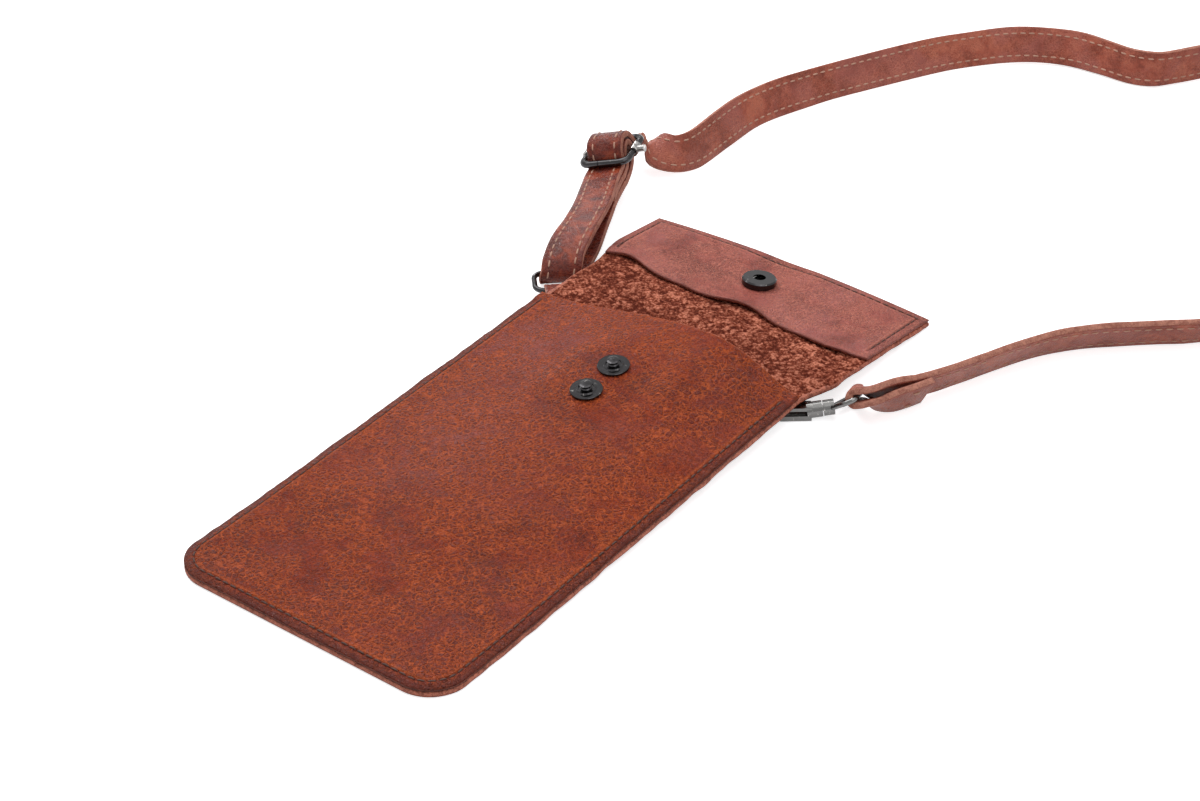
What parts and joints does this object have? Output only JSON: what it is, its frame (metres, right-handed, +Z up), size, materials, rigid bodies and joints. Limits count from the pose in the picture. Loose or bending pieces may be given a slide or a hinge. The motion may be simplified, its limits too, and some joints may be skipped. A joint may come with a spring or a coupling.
{
  "type": "phone pouch",
  "caption": "Long flat leather phone pouch lying open, with a snap flap laid back and a shoulder strap on rings, an adjusting slider and a swivel hook",
  "frame": {"origin": "middle of the bounding box of the pouch with its fittings, at the table's height, free strap left out", "axes": "+X to the right across the pouch, +Y along the pouch from its bottom edge towards the flap, +Z up from the table"},
  "size_m": [0.3387, 0.5022, 0.024],
  "materials": {
    "leather_grain": "waxed cognac grain, clouded and pebbled",
    "leather_suede": "napped flesh side",
    "facing_leather": "smooth pinkish brown",
    "strap_leather": "waxed red brown with raw edges",
    "seam_thread": "waxed thread, brown",
    "strap_thread": "waxed thread, pale beige",
    "dark_metal": "gunmetal plating, worn",
    "bright_metal": "plain steel where the plating has worn"
  },
  "bodies": {
    "pouch": {"back_panel": "leather_grain", "front_panel": "leather_grain", "pocket_seam_thread": "seam_thread", "snap_studs": "dark_metal", "stud_eyelets": "dark_metal", "ring_tab_left": "leather_grain", "ring_tab_right": "leather_grain", "tab_rivets": "dark_metal", "slider_frame": "dark_metal", "slider_bar": "bright_metal", "adjuster_loop": "strap_leather", "strap_right_lead": "strap_leather", "strap_right_run": "strap_leather", "strap_coil": "strap_leather", "strap_left_run": "strap_leather", "strap_tie": "strap_leather"},
    "fold": {"fold_strip": "leather_suede"},
    "flap": {"flap_panel": "leather_suede", "flap_facing": "facing_leather", "flap_seam_thread": "seam_thread", "snap_socket": "dark_metal", "socket_spring": "bright_metal", "snap_cap": "dark_metal"},
    "ring_left": {"ring_left": "dark_metal"},
    "ring_right": {"ring_right": "dark_metal"},
    "hook": {"hook_body": "dark_metal", "bolt_spring": "bright_metal"},
    "bolt": {"hook_bolt": "bright_metal"},
    "swivel": {"swivel_eye": "dark_metal", "strap_end_loop": "strap_leather", "end_loop_thread": "strap_thread"}
  },
  "joints": [
    {"name": "fold_lower", "type": "hinge", "parent": "pouch", "child": "fold", "pos_m": [0.00333, 0.04571, 0.0075], "axis": [1, 0, 0], "range_deg": [0, 96.25]},
    {"name": "fold_upper", "type": "hinge", "parent": "fold", "child": "flap", "pos_m": [0.00333, 0.06192, 0.0075], "axis": [1, 0, 0], "range_deg": [0, 96.25]},
    {"name": "ring_left_swing", "type": "hinge", "parent": "pouch", "child": "ring_left", "pos_m": [-0.05056, 0.05387, 0.003], "axis": [0.7314, 0.682, 0], "range_deg": [-20, 0], "deforming": ["adjuster_loop"]},
    {"name": "ring_right_swing", "type": "hinge", "parent": "pouch", "child": "ring_right", "pos_m": [0.03958, 0.02893, 0.0027], "axis": [0.6374, -0.7705, 0], "range_deg": [-10, 0], "deforming": ["strap_right_lead"]},
    {"name": "hook_tilt", "type": "hinge", "parent": "ring_right", "child": "hook", "pos_m": [0.04728, 0.03531, 0.0027], "axis": [0.6374, -0.7705, 0], "range_deg": [-2, 0]},
    {"name": "swivel_turn", "type": "hinge", "parent": "hook", "child": "swivel", "pos_m": [0.06053, 0.04627, 0.0034], "axis": [0.762, 0.6304, 0.1478], "continuous": true, "deforming": ["strap_end_loop", "end_loop_thread"]},
    {"name": "bolt_slide", "type": "slide", "parent": "hook", "child": "bolt", "axis": [0.7705, 0.6374, 0], "range_m": [0, 0.004], "stiffness_N_per_m": 150, "springref_m": -0.002, "deforming": ["bolt_spring"]}
  ],
  "couplings": [
    {"joint": "fold_upper", "follows": "fold_lower", "ratio": 1}
  ]
}
